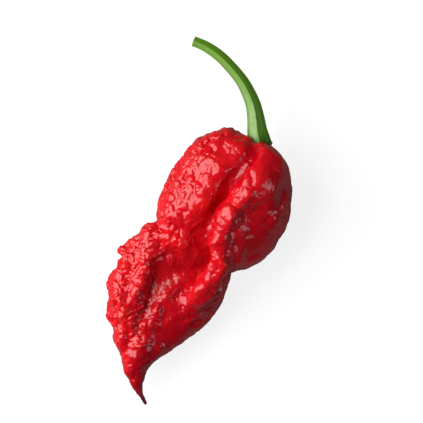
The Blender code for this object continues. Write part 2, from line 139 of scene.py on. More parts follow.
# Folds of the upper skin: height, which is below 0 for a crease, then width, then the line in XY.
FOLDS = {
    "valley_from_calyx": (-0.45, 1.3, [(14.2, 18.2), (13.2, 16.4), (11.4, 14.2), (9.0, 10.7), (6.6, 8.0),
                                      (4.7, 4.0), (2.4, 0.2), (1.4, -2.5), (0.8, -5.6), (1.4, -9.2),
                                      (-0.8, -12.1)]),
    "calyx_notch": (-1.0, 1.2, [(14.8, 18.6), (13.4, 16.6), (12.2, 14.8), (10.6, 12.6), (9.2, 10.8),
                                (8.0, 9.4)]),
    "waist_crease": (-0.35, 0.8, [(-9.6, -0.6), (-6.6, -0.8), (-3.6, -1.8), (-1.2, -2.8), (0.2, -5.6)]),
    "wing_crease": (-0.4, 1.2, [(-9.5, -7.6), (-10.7, -10.2), (-11.3, -13.0), (-12.2, -15.6), (-13.2, -18.8),
                                (-14.0, -22.0), (-14.4, -24.6)]),
    "lower_crease": (-0.35, 1.1, [(-0.8, -12.1), (-3.0, -15.2), (-4.9, -17.6), (-7.0, -20.6), (-8.9, -23.6),
                                 (-10.4, -26.4)]),
    "fold_lip": (-0.45, 0.6, [(13.8, 6.6), (12.6, 4.4), (11.2, 2.0), (9.2, 0.2), (8.2, -2.2), (7.9, -4.6),
                              (7.2, -6.6), (7.0, -8.8), (7.6, -11.6)]),
    "right_crest": (0.35, 0.8, [(18.9, 14.0), (20.6, 11.4), (21.2, 9.0), (20.8, 5.8), (19.6, 2.4),
                                (17.2, -0.4)]),
    "upper_cross_ridge": (0.5, 0.6, [(-18.6, -7.8), (-15.6, -8.8), (-12.6, -10.4)]),
    "middle_cross_ridge": (0.5, 0.6, [(-21.4, -15.4), (-17.8, -15.0), (-14.6, -14.0)]),
    "wing_cross_ridge": (0.5, 0.6, [(-21.0, -18.3), (-18.4, -19.2), (-15.6, -20.4)]),
    "lower_cross_ridge": (0.45, 0.6, [(-21.4, -22.0), (-18.4, -23.4), (-15.6, -25.0)]),
    "foot_cross_ridge": (0.6, 0.5, [(-16.4, -30.4), (-14.2, -30.2), (-12.4, -29.2)]),
    "fold_spur": (0.6, 0.7, [(4.9, -5.6), (3.2, -5.6), (1.6, -6.2)]),
    "first_rim_streak": (0.5, 0.45, [(0.2, -20.2), (2.6, -18.6), (5.4, -16.8)]),
    "second_rim_streak": (0.45, 0.45, [(-1.4, -22.4), (1.2, -20.8), (4.2, -18.9)]),
    "third_rim_streak": (0.4, 0.45, [(-3.4, -24.6), (-0.6, -23.2), (2.4, -21.6)]),
}

# Painted shade: where the skin is painted a deeper red, on valleys and flanks that lie in shade and along the
# tail: strength, width, then the line in XY.
PAINTED_SHADE_LINES = {
    "valley": (0.35, 1.8, [(12.6, 15.6), (9.0, 10.7), (4.7, 4.0), (1.6, -2.5), (1.0, -7.4), (-0.6, -12.4),
                          (-3.6, -16.6)]),
    "hollow": (0.7, 2.4, [(-9.6, -8.8), (-6.6, -9.8), (-3.0, -10.4), (0.2, -10.8)]),
    "wing_valley": (0.5, 1.5, [(-10.0, -7.4), (-11.2, -11.4), (-12.4, -15.4), (-13.4, -18.8),
                               (-14.6, -23.0)]),
    "small_ridge": (0.45, 2.0, [(-5.6, -12.8), (-7.6, -17.0), (-10.2, -21.6), (-12.4, -26.4)]),
    "lower_bank": (1.0, 3.8, [(3.4, -15.6), (0.8, -20.4), (-3.6, -24.4), (-8.0, -28.0), (-11.6, -32.0),
                              (-14.0, -36.4)]),
    "right_flank": (0.65, 4.0, [(19.6, 6.0), (17.0, 1.0), (13.0, -4.0), (9.6, -8.6)]),
    "tail": (0.8, 3.0, [(-12.4, -31.0), (-14.0, -35.0), (-14.6, -39.0), (-13.2, -44.6)]),
}

# The lobes whose skin is creased, with more fine wrinkles and softer grooves between the blisters.
CREASED_LOBES = ("waist_lobe", "left_wing", "wing_crest", "upper_knob", "middle_knob", "lower_knob",
                 "wing_foot", "valley_floor", "small_ridge", "lower_left_bank", "tail")

# How quickly the folds grow from nothing on a side wall to their full height on the upper skin.
FOLD_FADE = 1.6

# The lumps and crumples of the skin: size and height, in millimetres, and the warp that bends both.
LUMP_SIZE = 3.0
LUMP_HEIGHT = 0.6
CRUMPLE_SIZE = 3.4
CRUMPLE_HEIGHT = 0.5
CRUMPLE_MIDDLE = 0.4
CRUMPLE_SHIFT = Vector((3.1, 0.0, 7.7))
WARP_SIZE = 5.0
WARP_REACH = 1.3
WARP_SEED = 3

# The swirls that bend the grooves between the blisters, in millimetres.
SWIRL_SIZE = 2.4
SWIRL_REACH = 0.45

# How steeply a blister rises from its groove, on open and on creased skin, and the middle of its height.
OPEN_STEEPNESS = 3.6
CREASED_STEEPNESS = 3.2
BLISTER_MIDDLE = 0.7

# Skin whose share of one kind is smaller than this gets only the other kind of blister.
LEAST_SHARE = 0.01

# Patches of fuller and flatter blisters: size in millimetres, and how much fuller and flatter.
BLISTER_PATCH = 4.0
PATCH_CONTRAST = 0.65

# The share of its blisters that the skin under painted shade loses.
SHADE_CALM = 0.6

# The fine wrinkles: size in millimetres, how narrow their crests are, and their lowest level.
WRINKLE_SIZE = 0.95
WRINKLE_SHIFT = Vector((9.2, 4.1, 0.3))
WRINKLE_NARROWNESS = 3.0
WRINKLE_LOWEST = -0.4

# How wrinkled all skin is, and what crumpled and creased skin have on top.
WRINKLED_ALL = 0.15
WRINKLED_CRUMPLED = 0.85
WRINKLED_CREASED = 0.4

# The slow wandering of the skin: size and reach, in millimetres.
SWAY_SIZE = 4.5
SWAY_REACH = 0.45
SWAY_SEED = 5

# Where the tail turns dry, in Y, and over how many millimetres.
DRY_FROM = -39.0
DRY_OVER = 4.0

# Stem: the line that it follows from its seat to its cut end, with the radius at each point.
STEM = [(14.9, 17.0, 13.6, 2.5), (14.7, 17.8, 13.6, 2.95), (14.5, 18.5, 13.7, 2.95), (14.35, 19.5, 13.8, 2.8),
        (14.0, 21.7, 13.9, 2.44), (13.7, 24.4, 14.3, 2.13), (13.1, 27.5, 14.8, 1.87),
        (11.97, 30.35, 15.2, 1.7), (10.42, 33.2, 15.5, 1.56), (8.22, 36.0, 15.6, 1.48),
        (5.45, 38.9, 15.5, 1.43), (2.97, 40.8, 15.3, 1.36), (0.88, 41.98, 15.1, 1.28),
        (-1.15, 42.8, 14.9, 1.26)]
STEM_SIDES = 90
STEM_STEPS = 9
STEM_RIBS = 5

# How much wider than its radius the ribbed stem is at its ribs, and what a rounder one has on top.
STEM_SWELL = 1.03
ROUND_SWELL = 0.02

# The lengthwise streaks of the stem: how close they lie around it, over how many rings they change, and
# their height as a share of the stem's radius.
STREAKS_AROUND = 5.6
STREAK_RINGS = 30
STREAK_HEIGHT = 0.03

# The teeth of the calyx: where they stand in Y, how far they spread along the stem, and their height.
CALYX_TEETH_AT = 18.3
CALYX_TEETH_SPREAD = 0.6
CALYX_TOOTH = 0.2

# Rings of the hollowed cut end: share of the rim's width, depth in millimetres, how far it has dried pale.
CUT_END = ((0.93, -0.06, 0.6), (0.82, 0.02, 1.0), (0.6, 0.12, 1.0), (0.3, 0.16, 1.0))

# The directions that the stem's painted lit side and its olive band of painted shade face, and where and how
# fast each begins.
PAINTED_LIT_SIDE = np.array([-0.85, -0.35, 0.1])
PAINTED_LIT_CONTRAST = 1.6
SHADE_BAND_SIDE = np.array([-0.88, -0.3, -0.36])
SHADE_BAND_START = 0.45
SHADE_BAND_CONTRAST = 3.5

# How many clouds of colour and how many pores there are to a metre of skin.
POD_CLOUDS = 260.0
POD_PORES = 2600.0
STEM_CLOUDS = 800.0
STEM_PORES = 3000.0

# Edges sharper than this stay sharp.
SMOOTH_ANGLE = math.radians(60)

# The camera: what it looks at, how wide it sees there, its lens and its sensor, all in millimetres.
VIEW_CENTRE = (3.1, 2.2, 12.0)
VIEW_SPAN = 101.5
LENS = 200.0
SENSOR = 36.0

# The lamps and the surface, in millimetres in the part's frame.
LAMP_TARGET = (0, 0, 10)
SOFTBOX_AT = (-194, 34, 184)
SOFTBOX_SIZE = 290
WEAK_LAMP_AT = (380, -120, 260)
WEAK_LAMP_SIZE = 200
WHITE = (1.0, 1.0, 1.0)
COOL = (0.78, 0.86, 1.0)
SURFACE_SIZE = 1600
# Where the surface's painted falloff of light begins and ends, in millimetres from the part's origin.
SHADE_FROM = 74.0
SHADE_TO = 130.0


def smooth_line(points, steps):
    """The points of a Catmull-Rom curve through the given points, with steps stretches between each two."""
    given = np.array(points, float)
    padded = np.vstack([2 * given[0] - given[1], given, 2 * given[-1] - given[-2]])
    line = []
    for i in range(len(given) - 1):
        before, start, end, after = padded[i:i + 4]
        for share in np.arange(steps) / steps:
            line.append(0.5 * (2 * start + (end - before) * share
                               + (2 * before - 5 * start + 4 * end - after) * share ** 2
                               + (3 * start - before - 3 * end + after) * share ** 3))
    line.append(given[-1])
    return np.array(line)


def lobe_distance(places, line):
    """How far each place is outside a lobe, and the direction that leads out of it."""
    best = np.full(len(places), np.inf)
    outward = np.zeros_like(places)
    for start, end in zip(line[:-1], line[1:]):
        along = end[:3] - start[:3]
        share = np.clip((places - start[:3]) @ along / (along @ along), 0.0, 1.0)
        away = places - start[:3] - share[:, None] * along
        length = np.maximum(np.linalg.norm(away, axis=1), 1e-9)
        distance = length - (start[3] + share * (end[3] - start[3]))
        nearer = distance < best
        best[nearer] = distance[nearer]
        outward[nearer] = (away / length[:, None])[nearer]
    return best, outward


def pod_distance(places, lines):
    """The blended distance to all lobes, its direction, and each lobe's share at each place."""
    found = [lobe_distance(places, line) for line in lines]
    distances = np.stack([d for d, _ in found])
    nearest = distances.min(axis=0)
    weights = np.exp(-(distances - nearest) / BLEND)
    total = weights.sum(axis=0)
    shares = weights / total
    outward = sum(share[:, None] * way for share, (_, way) in zip(shares, found))
    outward /= np.maximum(np.linalg.norm(outward, axis=1), 1e-9)[:, None]
    return nearest - BLEND * np.log(total), outward, shares


def mesh_points(mesh):
    """The mesh's vertices in the lobes' millimetres."""
    flat = np.empty(len(mesh.vertices) * 3)
    mesh.vertices.foreach_get("co", flat)
    return flat.reshape(-1, 3) / MM + FRAME_SHIFT


def set_mesh_points(mesh, places):
    mesh.vertices.foreach_set("co", ((places - FRAME_SHIFT) * MM).ravel())
    mesh.update()


def deselect_all():
    """Leaves object mode with nothing selected, because the operators act on all that is selected."""
    if bpy.context.object and bpy.context.object.mode != "OBJECT":
        bpy.ops.object.mode_set(mode="OBJECT")
    bpy.ops.object.select_all(action="DESELECT")


def select_only(piece):
    deselect_all()
    piece.select_set(True)
    bpy.context.view_layer.objects.active = piece


def apply_modifier(piece, kind, **settings):
    """Adds a modifier, gives it its settings and applies it."""
    select_only(piece)
    modifier = piece.modifiers.new(kind.title(), kind)
    for name, value in settings.items():
        setattr(modifier, name, value)
    bpy.ops.object.modifier_apply(modifier=modifier.name)


def place_beads(lines, name):
    """Adds a bead at each point of each lobe's line, all in one mesh."""
    deselect_all()
    first = True
    for line in lines:
        for x, y, z, radius in line:
            spot = (np.array([x, y, z]) - FRAME_SHIFT) * MM
            bpy.ops.mesh.primitive_ico_sphere_add(subdivisions=2, radius=radius * MM, location=spot)
            if first:
                piece = bpy.context.object
                piece.name = piece.data.name = name
                bpy.ops.object.transform_apply(location=True, rotation=True, scale=True)
                bpy.ops.object.mode_set(mode="EDIT")
                first = False
    bpy.ops.object.mode_set(mode="OBJECT")
    return piece


def drop_bubbles(piece):
    """Deletes the small bubbles that the remesher leaves inside. The highest vertex is on the outer skin."""
    highest = int(np.argmax(mesh_points(piece.data)[:, 2]))
    select_only(piece)
    bpy.ops.object.mode_set(mode="EDIT")
    bpy.ops.mesh.select_mode(type="VERT")
    bpy.ops.mesh.select_all(action="DESELECT")
    bpy.ops.object.mode_set(mode="OBJECT")
    piece.data.vertices[highest].select = True
    bpy.ops.object.mode_set(mode="EDIT")
    bpy.ops.mesh.select_linked()
    bpy.ops.mesh.select_all(action="INVERT")
    bpy.ops.mesh.delete(type="VERT")
    bpy.ops.object.mode_set(mode="OBJECT")


def settle(mesh, lines, rounds):
    """Moves each vertex onto the blended surface of the lobes."""
    places = mesh_points(mesh)
    for _ in range(rounds):
        distance, outward, _ = pod_distance(places, lines)
        places -= distance[:, None] * outward
    set_mesh_points(mesh, places)


def even_out(piece, repeats):
    """Spreads the vertices evenly over the surface."""
    select_only(piece)
    bpy.ops.object.mode_set(mode="EDIT")
    bpy.ops.mesh.select_all(action="SELECT")
    bpy.ops.mesh.vertices_smooth(factor=0.5, repeat=repeats)
    bpy.ops.object.mode_set(mode="OBJECT")


def line_closeness(places, line, width):
    """1 on a line in XY and 0 well away from it, and fading out towards the line's two ends."""
    best = np.full(len(places), np.inf)
    progress = np.zeros(len(places))
    for i, (start, end) in enumerate(zip(line[:-1], line[1:])):
        along = end - start
        share = np.clip((places[:, :2] - start) @ along / (along @ along), 0.0, 1.0)
        distance = np.linalg.norm(places[:, :2] - start - share[:, None] * along, axis=1)
        nearer = distance < best
        best[nearer] = distance[nearer]
        progress[nearer] = (i + share[nearer]) / (len(line) - 1)
    return np.exp(-(best / width) ** 2) * np.sin(np.pi * np.clip(progress, 0.03, 0.97)) ** 0.5


def line_heights(places, lines):
    """What the given lines add up to at each place, each with its own height and width."""
    total = np.zeros(len(places))
    for height, width, points in lines.values():
        total += height * line_closeness(places, smooth_line(points, PATH_STEPS), width)
    return total


def fold_heights(places, outward):
    """Height that the named folds add to the upper skin."""
    return line_heights(places, FOLDS) * np.clip(outward[:, 2] * FOLD_FADE, 0.0, 1.0)


def dome(gap, steepness):
    """1 on the flat of a blister and 0 in the groove between two, where the gap is 0."""
    rise = min(gap * steepness, 1.0)
    return rise * rise * (3.0 - 2.0 * rise)


def lump_height(place):
    """Soft lumps, and crumples whose creases are sharper than their crests."""
    lump = noise.noise(place / LUMP_SIZE)
    crumple = 2.0 * abs(noise.noise(place / CRUMPLE_SIZE + CRUMPLE_SHIFT))
    return LUMP_HEIGHT * lump + CRUMPLE_HEIGHT * (crumple - CRUMPLE_MIDDLE)


def skin_heights(places, creased, look):
    """For each place the lumps, blisters and wrinkles, each around 0, and 1 to 0 from blister to groove."""
    noise.seed_set(WARP_SEED)
    lumps, blisters, wrinkles, domes = [], [], [], []
    for (x, y, z), share in zip(places, creased):
        place = Vector((x, y, z))
        lumps.append(lump_height(place + noise.noise_vector(place / WARP_SIZE) * WARP_REACH))
        swirl = place + noise.noise_vector(place / SWIRL_SIZE) * SWIRL_REACH
        distances = noise.voronoi(swirl / (look.blister_size / MM))[0]
        gap = distances[1] - distances[0]
        blister = 0.0
        if share < 1.0 - LEAST_SHARE:
            blister += (1.0 - share) * dome(gap, OPEN_STEEPNESS)
        if share > LEAST_SHARE:
            blister += share * dome(gap, CREASED_STEEPNESS)
        fullness = 1.0 + PATCH_CONTRAST * noise.noise(place / BLISTER_PATCH)
        ridge = 1.0 - abs(noise.noise(swirl / WRINKLE_SIZE + WRINKLE_SHIFT)) * WRINKLE_NARROWNESS
        blisters.append(look.blister_height / MM * fullness * (blister - BLISTER_MIDDLE))
        wrinkles.append(look.wrinkle_height / MM * max(ridge, WRINKLE_LOWEST))
        domes.append(blister)
    return np.array(lumps), np.array(blisters), np.array(wrinkles), np.array(domes)


def sway(places):
    """A slow wandering of the whole skin, which keeps the folds from looking drawn with a ruler."""
    noise.seed_set(SWAY_SEED)
    return np.array([noise.noise_vector(Vector(place) / SWAY_SIZE) for place in places]) * SWAY_REACH


def store_attribute(mesh, name, values):
    attribute = mesh.attributes.new(name, "FLOAT", "POINT")
    attribute.data.foreach_set("value", np.asarray(values, dtype=np.float32))


def wrinkle(piece, lines, look):
    """Raises folds, lumps and blisters, and keeps what the skin's colours need as attributes."""
    places = mesh_points(piece.data)
    _, outward, shares = pod_distance(places, lines)
    crumpled = np.array([crumple for crumple, _, _ in LOBES.values()]) @ shares
    blistered = np.array([blister for _, blister, _ in LOBES.values()]) @ shares
    creased = shares[[name in CREASED_LOBES for name in LOBES]].sum(axis=0)
    lumps, blisters, wrinkles, domes = skin_heights(places, creased, look)
    folds = fold_heights(places, outward)
    # Where painted shade darkens the valleys and flanks, which also calms their blisters.
    deep = np.clip(line_heights(places, PAINTED_SHADE_LINES), 0.0, 1.0)
    blistered *= 1.0 - SHADE_CALM * deep
    wrinkled = WRINKLED_ALL + WRINKLED_CRUMPLED * crumpled + WRINKLED_CREASED * creased
    height = folds + crumpled * lumps + blistered * blisters + wrinkled * wrinkles
    places = places + height[:, None] * outward + sway(places)
    places[:, 2] = np.maximum(places[:, 2], FRAME_SHIFT[2])
    set_mesh_points(piece.data, places)
    # Painted light and shade for the colours: lighter crests and darker creases, shade on the listed valleys
    # and flanks, and shade in the grooves between the blisters.
    store_attribute(piece.data, "painted_relief_light", np.clip(0.5 + 0.5 * (folds + crumpled * lumps), 0.0, 1.0))
    store_attribute(piece.data, "deep", deep)
    store_attribute(piece.data, "groove", 1.0 - blistered * (1.0 - domes))


def rib_radius(angle, sharpness):
    """The outline of the ribbed stem as a share of its radius: a five-sided shape with soft corners."""
    half = math.pi / STEM_RIBS
    from_corner = (angle + half) % (2 * half) - half
    flat = math.cos(half) / math.cos(half - abs(from_corner))
    return 1.0 + sharpness * (flat - 1.0) + (1.0 - sharpness) * ROUND_SWELL


def stem_rings(look):
    """Rings of points around the stem's line and into its cut end, and the streak at each point.

    Each ring comes with its middle and the direction of the stem there.
    """
    line = smooth_line(STEM, STEM_STEPS)
    rings, streaks = [], []
    for i, (x, y, z, radius) in enumerate(line):
        centre = Vector((x, y, z))
        ahead = Vector(line[min(i + 1, len(line) - 1)][:3]) - Vector(line[max(i - 1, 0)][:3])
        ahead.normalize()
        side = ahead.cross(Vector((0, 0, 1))).normalized()
        up = side.cross(ahead)
        teeth = math.exp(-((y - CALYX_TEETH_AT) / CALYX_TEETH_SPREAD) ** 2)
        ring = []
        for k in range(STEM_SIDES):
            angle = 2 * math.pi * k / STEM_SIDES
            streak = noise.noise(Vector((math.cos(angle) * STREAKS_AROUND, math.sin(angle) * STREAKS_AROUND,
                                         i / STREAK_RINGS)))
            streaks.append(streak)
            reach = STEM_SWELL * radius * (rib_radius(angle, look.rib_sharpness) + STREAK_HEIGHT * streak)
            tooth = teeth * CALYX_TOOTH * max(0.0, math.cos(STEM_RIBS * angle)) ** 2
            place = centre + (side * math.sin(angle) + up * math.cos(angle)) * (reach + tooth)
            ring.append(place - ahead * tooth)
        rings.append((centre, ahead, ring))
    centre, ahead, rim = rings[-1]
    for inward, depth, _ in CUT_END:
        rings.append((centre, ahead, [centre + (spot - centre) * inward - ahead * depth for spot in rim]))
        streaks += [0.0] * STEM_SIDES
    return rings, streaks


def loft_stem(name, look):
    """The stem with its calyx and its hollowed cut end, and what its colours need as attributes."""
    rings, streaks = stem_rings(look)
    shape = bmesh.new()
    made = [[shape.verts.new((spot - Vector(FRAME_SHIFT)) * MM) for spot in ring] for _, _, ring in rings]
    for low, high in zip(made[:-1], made[1:]):
        for k in range(STEM_SIDES):
            after = (k + 1) % STEM_SIDES
            shape.faces.new((low[k], low[after], high[after], high[k]))
    shape.faces.new(made[0][::-1])
    shape.faces.new(made[-1])
    bmesh.ops.recalc_face_normals(shape, faces=shape.faces)
    mesh = bpy.data.meshes.new(name)
    shape.to_mesh(mesh)
    shape.free()
    stem = bpy.data.objects.new(name, mesh)
    bpy.context.scene.collection.objects.link(stem)
    stalk = len(rings) - len(CUT_END)
    along = np.concatenate([np.linspace(0.0, 1.0, stalk), np.ones(len(CUT_END))])
    dried = [0.0] * stalk + [share for _, _, share in CUT_END]
    outward = np.array([(spot - centre).normalized() for centre, _, ring in rings for spot in ring])
    store_attribute(mesh, "along", np.repeat(along, STEM_SIDES))
    store_attribute(mesh, "cut_end", np.repeat(dried, STEM_SIDES))
    store_attribute(mesh, "streak", streaks)
    # Painted light: marks the side that faces the softbox, which is painted pale.
    store_attribute(mesh, "pale", np.clip(0.5 + PAINTED_LIT_CONTRAST * (outward @ PAINTED_LIT_SIDE), 0.0, 1.0))
    # Painted shade: the band where the stem turns under on its lower left.
    store_attribute(mesh, "edge", np.clip((outward @ SHADE_BAND_SIDE - SHADE_BAND_START) * SHADE_BAND_CONTRAST, 0.0, 1.0))
    return stem


def feed(tree, socket, value):
    """Links the socket to another node's output, or gives it a plain value."""
    if isinstance(value, bpy.types.NodeSocket):
        tree.links.new(value, socket)
    else:
        socket.default_value = value


def add_node(tree, kind, links=None, **settings):
    """Adds a node, with its settings and the values or links of its inputs."""
    node = tree.nodes.new(kind)
    for name, value in settings.items():
        setattr(node, name, value)
    for name, value in (links or {}).items():
        feed(tree, node.inputs[name], value)
    return node


def stored(tree, name):
    """The mesh's own attribute of that name."""
    return add_node(tree, "ShaderNodeAttribute", attribute_name=name).outputs["Fac"]


def colour_ramp(tree, factor, stops):
    """A colour ramp with the given (position, colour) stops."""
    node = add_node(tree, "ShaderNodeValToRGB", {"Fac": factor})
    ramp = node.color_ramp
    while len(ramp.elements) > 1:
        ramp.elements.remove(ramp.elements[-1])
    ramp.elements[0].position, ramp.elements[0].color = stops[0]
    for position, colour in stops[1:]:
        ramp.elements.new(position).color = colour
    return node.outputs["Color"]


def mix_colour(tree, factor, first, second):
    """The first colour where the factor is 0, and the second where it is 1."""
    node = add_node(tree, "ShaderNodeMix", data_type="RGBA")
    for place, value in ((0, factor), (6, first), (7, second)):
        feed(tree, node.inputs[place], value)
    return node.outputs[2]


def maths(tree, operation, first, second):
    node = add_node(tree, "ShaderNodeMath", operation=operation)
    for socket, value in zip(node.inputs, (first, second)):
        feed(tree, socket, value)
    return node.outputs[0]


def map_range(tree, value, low, high, to_low, to_high):
    node = add_node(tree, "ShaderNodeMapRange", {"Value": value, "From Min": low, "From Max": high,
                                                 "To Min": to_low, "To Max": to_high})
    return node.outputs["Result"]


def plant_skin_group():
    """Cloudy mottling and fine pores, shared by the pod's and the stem's skin."""
    group = bpy.data.node_groups.new("plant_skin", "ShaderNodeTree")
    group.interface.new_socket("Place", in_out="INPUT", socket_type="NodeSocketVector")
    group.interface.new_socket("Cloud Scale", in_out="INPUT", socket_type="NodeSocketFloat")
    group.interface.new_socket("Pore Scale", in_out="INPUT", socket_type="NodeSocketFloat")
    group.interface.new_socket("Clouds", in_out="OUTPUT", socket_type="NodeSocketFloat")
    group.interface.new_socket("Pores", in_out="OUTPUT", socket_type="NodeSocketFloat")
    entry = add_node(group, "NodeGroupInput")
    clouds = add_node(group, "ShaderNodeTexNoise", {"Vector": entry.outputs["Place"],
                                                    "Scale": entry.outputs["Cloud Scale"],
                                                    "Detail": 4.0, "Roughness": 0.6})
    pores = add_node(group, "ShaderNodeTexNoise", {"Vector": entry.outputs["Place"],
                                                   "Scale": entry.outputs["Pore Scale"],
                                                   "Detail": 2.0, "Roughness": 0.5})
    add_node(group, "NodeGroupOutput", {"Clouds": clouds.outputs["Fac"], "Pores": pores.outputs["Fac"]})
    return group


def plant_skin(tree, group, cloud_scale, pore_scale):
    """Places the shared group in a material: the object's coordinates, the clouds and the pores."""
    place = add_node(tree, "ShaderNodeTexCoord").outputs["Object"]
    node = add_node(tree, "ShaderNodeGroup", node_tree=group)
    for name, value in (("Place", place), ("Cloud Scale", cloud_scale), ("Pore Scale", pore_scale)):
        feed(tree, node.inputs[name], value)
    return place, node.outputs["Clouds"], node.outputs["Pores"]


def raise_pores(tree, shader, pores, depth, strength):
    """Fine bumps on the shader's surface, with their depth in millimetres."""
    bump = add_node(tree, "ShaderNodeBump", {"Height": pores, "Distance": depth * MM, "Strength": strength})
    feed(tree, shader.inputs["Normal"], bump.outputs["Normal"])


def new_material(name):
    material = bpy.data.materials.new(name)
    material.use_nodes = True
    return material, material.node_tree, material.node_tree.nodes["Principled BSDF"]


def pod_material(group, look):
    """Waxy red skin: painted shade makes it deeper red in creases, grooves and the shaded valleys and flanks,
    painted light makes it brighter on crests, and the tail's tip is brown and dry.
    """
    material, tree, shader = new_material("pod_skin")
    place, clouds, pores = plant_skin(tree, group, POD_CLOUDS, POD_PORES)
    # Painted shade in the creases and painted light on the crests.
    colour = colour_ramp(tree, stored(tree, "painted_relief_light"), [(0.0, look.crease_shade_and_mottle_colour), (0.38, look.skin_colour),
                                                        (0.8, look.painted_crest_light_colour)])
    # Painted shade in the grooves between the blisters.
    groove_shade = map_range(tree, stored(tree, "groove"), 0.0, 0.8, 0.5, 0.0)
    colour = mix_colour(tree, groove_shade, colour, look.crease_shade_and_mottle_colour)
    # Random clouds of darker skin, the skin's own mottling.
    colour = mix_colour(tree, map_range(tree, clouds, 0.4, 0.75, 0.0, 0.25), colour, look.crease_shade_and_mottle_colour)
    # Painted shade on the valleys and flanks that face away from the light.
    colour = mix_colour(tree, stored(tree, "deep"), colour, look.painted_shade_colour)
    across = add_node(tree, "ShaderNodeSeparateXYZ", {"Vector": place}).outputs["Y"]
    start = (DRY_FROM - FRAME_SHIFT[1]) * MM
    dry = map_range(tree, across, start, start - DRY_OVER * MM, 0.0, 0.9)
    feed(tree, shader.inputs["Base Color"], mix_colour(tree, dry, colour, look.tip_colour))
    rough = map_range(tree, clouds, 0.3, 0.7, look.gloss_roughness - 0.05, look.gloss_roughness + 0.07)
    feed(tree, shader.inputs["Roughness"], maths(tree, "ADD", rough, maths(tree, "MULTIPLY", dry, 0.3)))
    shader.inputs["Subsurface Weight"].default_value = look.translucency
    shader.inputs["Subsurface Radius"].default_value = (1.0, 0.12, 0.06)
    shader.inputs["Subsurface Scale"].default_value = 0.8 * MM
    raise_pores(tree, shader, pores, 0.05, 0.35)
    return material


def stem_material(group, look):
    """Satin green with lengthwise streaks, painted light on the side that faces the softbox, painted shade on
    the other sides and an olive band of painted shade along the lower left edge, a darker calyx and a pale
    cut end.
    """
    material, tree, shader = new_material("stem_skin")
    _, clouds, pores = plant_skin(tree, group, STEM_CLOUDS, STEM_PORES)
    along = stored(tree, "along")
    # Painted light on the side that faces the softbox, painted shade on the other sides.
    painted_lit_ramp = colour_ramp(tree, along, [(0.2, look.calyx_colour), (0.27, look.painted_lit_colour),
                                           (0.5, look.painted_lit_colour), (0.75, look.stem_colour)])
    painted_shade_ramp = colour_ramp(tree, along, [(0.19, look.calyx_colour), (0.3, look.streak_and_shade_colour)])
    colour = mix_colour(tree, stored(tree, "pale"), painted_shade_ramp, painted_lit_ramp)
    # Painted shade band along the lower left edge.
    colour = mix_colour(tree, stored(tree, "edge"), colour, look.shade_band_colour)
    streaked = map_range(tree, stored(tree, "streak"), 0.05, 0.35, 0.0, 0.7)
    colour = mix_colour(tree, streaked, colour, look.streak_and_shade_colour)
    colour = mix_colour(tree, map_range(tree, clouds, 0.45, 0.7, 0.0, 0.5), colour, look.streak_and_shade_colour)
    colour = mix_colour(tree, stored(tree, "cut_end"), colour, look.cut_colour)
    feed(tree, shader.inputs["Base Color"], colour)
    feed(tree, shader.inputs["Roughness"], map_range(tree, clouds, 0.3, 0.7, 0.38, 0.52))
    raise_pores(tree, shader, pores, 0.04, 0.4)
    return material


def surface_material(look):
    """The pale surface: matt, faintly glowing like a light table to the camera alone, and painted darker away
    from the pepper as a painted falloff of light.
    """
    material, tree, shader = new_material("pale_surface")
    place = add_node(tree, "ShaderNodeTexCoord").outputs["Object"]
    away = add_node(tree, "ShaderNodeVectorMath", {"Vector": place}, operation="LENGTH").outputs["Value"]
    shade = map_range(tree, away, SHADE_FROM * MM, SHADE_TO * MM, 0.0, 1.0)
    feed(tree, shader.inputs["Base Color"], mix_colour(tree, shade, look.surface_colour, look.painted_far_shade_colour))
    shader.inputs["Emission Color"].default_value = (1.0, 1.0, 1.0, 1.0)
    shader.inputs["Roughness"].default_value = 0.8
    seen = add_node(tree, "ShaderNodeLightPath").outputs["Is Camera Ray"]
    feed(tree, shader.inputs["Emission Strength"], maths(tree, "MULTIPLY", seen, look.surface_glow))
    return material


